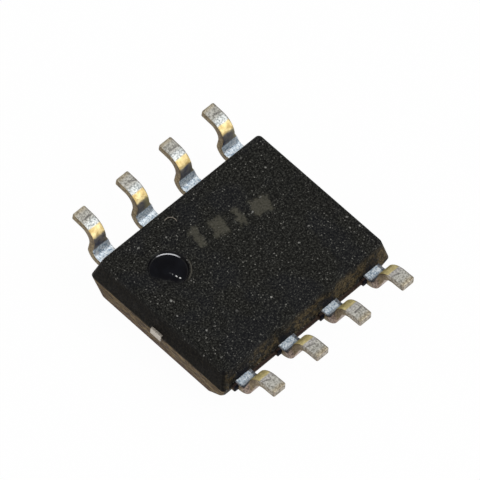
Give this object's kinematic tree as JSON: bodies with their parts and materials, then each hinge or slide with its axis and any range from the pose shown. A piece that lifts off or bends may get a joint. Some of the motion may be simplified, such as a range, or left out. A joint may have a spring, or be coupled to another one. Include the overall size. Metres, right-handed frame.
{
  "type": "small-outline integrated circuit package",
  "caption": "Small-outline surface-mount integrated circuit: a moulded body with gull-wing leads, lying on its marking face with the solder feet turned up.",
  "frame": {"origin": "middle of the flat marking face, which is the lowest face as modelled", "axes": "+X along the lead rows, +Y across them, +Z from the marking face to the solder feet. The part lies on its back, as on the picture; a half turn about X puts it on a board. Lead 1 is at the +X end of the -Y row."},
  "size_m": [0.005, 0.006, 0.0016],
  "materials": {
    "mould_compound": "dark brown-black moulding compound with fine pale specks, rough on the flat faces and smoother on the drafted sides",
    "tin_plate": "dull tin plate over copper alloy, tarnished yellow on the bends and brown on the cut edges",
    "lead_frame_copper": "bare lead frame alloy with a bright sheared end",
    "silver_epoxy": "dull silver-filled adhesive",
    "silicon": "polished blue-grey silicon",
    "gold_wire": "bright gold"
  },
  "bodies": {
    "root": {"moulded_body": "mould_compound", "die_paddle": "lead_frame_copper", "die_attach": "silver_epoxy", "silicon_die": "silicon", "lead_1": "tin_plate", "lead_2": "tin_plate", "lead_3": "tin_plate", "lead_4": "tin_plate", "lead_5": "tin_plate", "lead_6": "tin_plate", "lead_7": "tin_plate", "lead_8": "tin_plate", "bond_wire_1": "gold_wire", "bond_wire_2": "gold_wire", "bond_wire_3": "gold_wire", "bond_wire_4": "gold_wire", "bond_wire_5": "gold_wire", "bond_wire_6": "gold_wire", "bond_wire_7": "gold_wire", "bond_wire_8": "gold_wire"}
  },
  "joints": []
}
